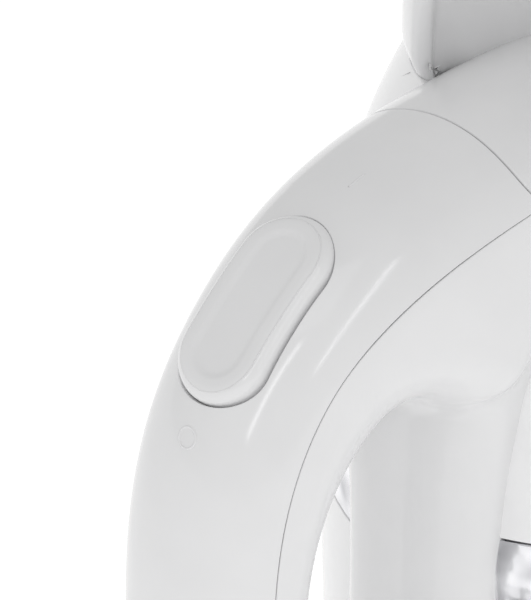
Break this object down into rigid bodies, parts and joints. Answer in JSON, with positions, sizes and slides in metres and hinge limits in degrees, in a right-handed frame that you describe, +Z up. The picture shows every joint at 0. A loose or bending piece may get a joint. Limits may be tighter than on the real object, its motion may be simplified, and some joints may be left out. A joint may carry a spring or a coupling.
{
  "type": "hand mixer",
  "caption": "Electric hand mixer with a loop handle, rocker power switch, speed dial, thumb ejector and two removable wire beaters, standing on its heel.",
  "frame": {"origin": "centre of the flat heel, on the motor axis, at the surface that the mixer stands on", "axes": "+Z up the motor axis from the heel to the nose, +X out along the beaters, away from the handle, and Y across, with y = 0 the mirror plane"},
  "size_m": [0.2619, 0.0909, 0.1905],
  "materials": {
    "white_plastic": "gloss",
    "handle_plastic": "gloss",
    "dial_plastic": "satin",
    "chrome": "polished",
    "rubber": "matte",
    "black_plastic": "satin",
    "steel": "satin",
    "lamination": "satin",
    "copper": "enamelled wire",
    "bronze": "sintered",
    "carbon": "matte",
    "board": "satin",
    "aluminium": "die cast",
    "nylon": "satin"
  },
  "bodies": {
    "housing": {"rear_housing": "white_plastic", "front_housing": "white_plastic", "chrome_band": "chrome", "nose_cap": "handle_plastic", "head_cover": "handle_plastic", "handle_cap": "handle_plastic", "handle_grip": "handle_plastic", "heel_plate": "handle_plastic", "heel_pad": "rubber", "cord_bushing": "rubber", "motor_stator": "lamination", "field_coils": "copper", "rear_bracket": "aluminium", "front_bracket": "aluminium", "shaft_bearings": "bronze", "brush_holders": "black_plastic", "carbon_brushes": "carbon", "brush_springs": "steel", "speed_board": "board", "speed_switch": "black_plastic", "handle_switch": "black_plastic", "rocker_cradle": "black_plastic", "gearbox_frame": "aluminium", "gearbox_cover": "aluminium", "worm_tip_bush": "bronze", "wheel_bushes": "bronze", "beater_seals": "rubber", "heel_screws": "steel", "motor_screws": "steel", "gearbox_screws": "steel", "rocker_pin": "steel"},
    "rocker": {"power_rocker": "handle_plastic"},
    "dial": {"speed_dial": "dial_plastic", "dial_spindle": "steel"},
    "ejector": {"eject_button": "dial_plastic", "eject_fork": "black_plastic", "eject_spring": "steel"},
    "armature": {"motor_shaft": "steel", "rotor_core": "lamination", "rotor_windings": "copper", "commutator": "copper", "cooling_fan": "black_plastic", "worm": "steel"},
    "wheel_left": {"worm_wheel_left": "nylon"},
    "wheel_right": {"worm_wheel_right": "nylon"},
    "whisk_left": {"beater_left": "chrome"},
    "whisk_right": {"beater_right": "chrome"}
  },
  "joints": [
    {"name": "rocker_tilt", "type": "hinge", "parent": "housing", "child": "rocker", "pos_m": [-0.07511, 0, 0.14362], "axis": [0, 1, 0], "range_deg": [0, 5]},
    {"name": "dial_turn", "type": "hinge", "parent": "housing", "child": "dial", "pos_m": [0.011, 0, 0.176], "axis": [0, 0, -1], "range_deg": [0, 210]},
    {"name": "eject_push", "type": "slide", "parent": "housing", "child": "ejector", "axis": [1, 0, 0], "range_m": [0, 0.005], "stiffness_N_per_m": 600, "springref_m": -0.004, "deforming": ["eject_spring"]},
    {"name": "motor_spin", "type": "hinge", "parent": "housing", "child": "armature", "pos_m": [0, 0, 0.06], "axis": [0, 0, 1], "continuous": true},
    {"name": "wheel_left_spin", "type": "hinge", "parent": "housing", "child": "wheel_left", "pos_m": [0, 0.019, 0.136], "axis": [1, 0, 0], "continuous": true},
    {"name": "wheel_right_spin", "type": "hinge", "parent": "housing", "child": "wheel_right", "pos_m": [0, -0.019, 0.136], "axis": [1, 0, 0], "continuous": true},
    {"name": "beater_left_pull", "type": "slide", "parent": "wheel_left", "child": "whisk_left", "axis": [1, 0, 0], "range_m": [0, 0.065]},
    {"name": "beater_right_pull", "type": "slide", "parent": "wheel_right", "child": "whisk_right", "axis": [1, 0, 0], "range_m": [0, 0.065]}
  ],
  "couplings": [
    {"joint": "wheel_left_spin", "follows": "motor_spin", "ratio": 0.034483},
    {"joint": "wheel_right_spin", "follows": "motor_spin", "ratio": -0.034483}
  ]
}
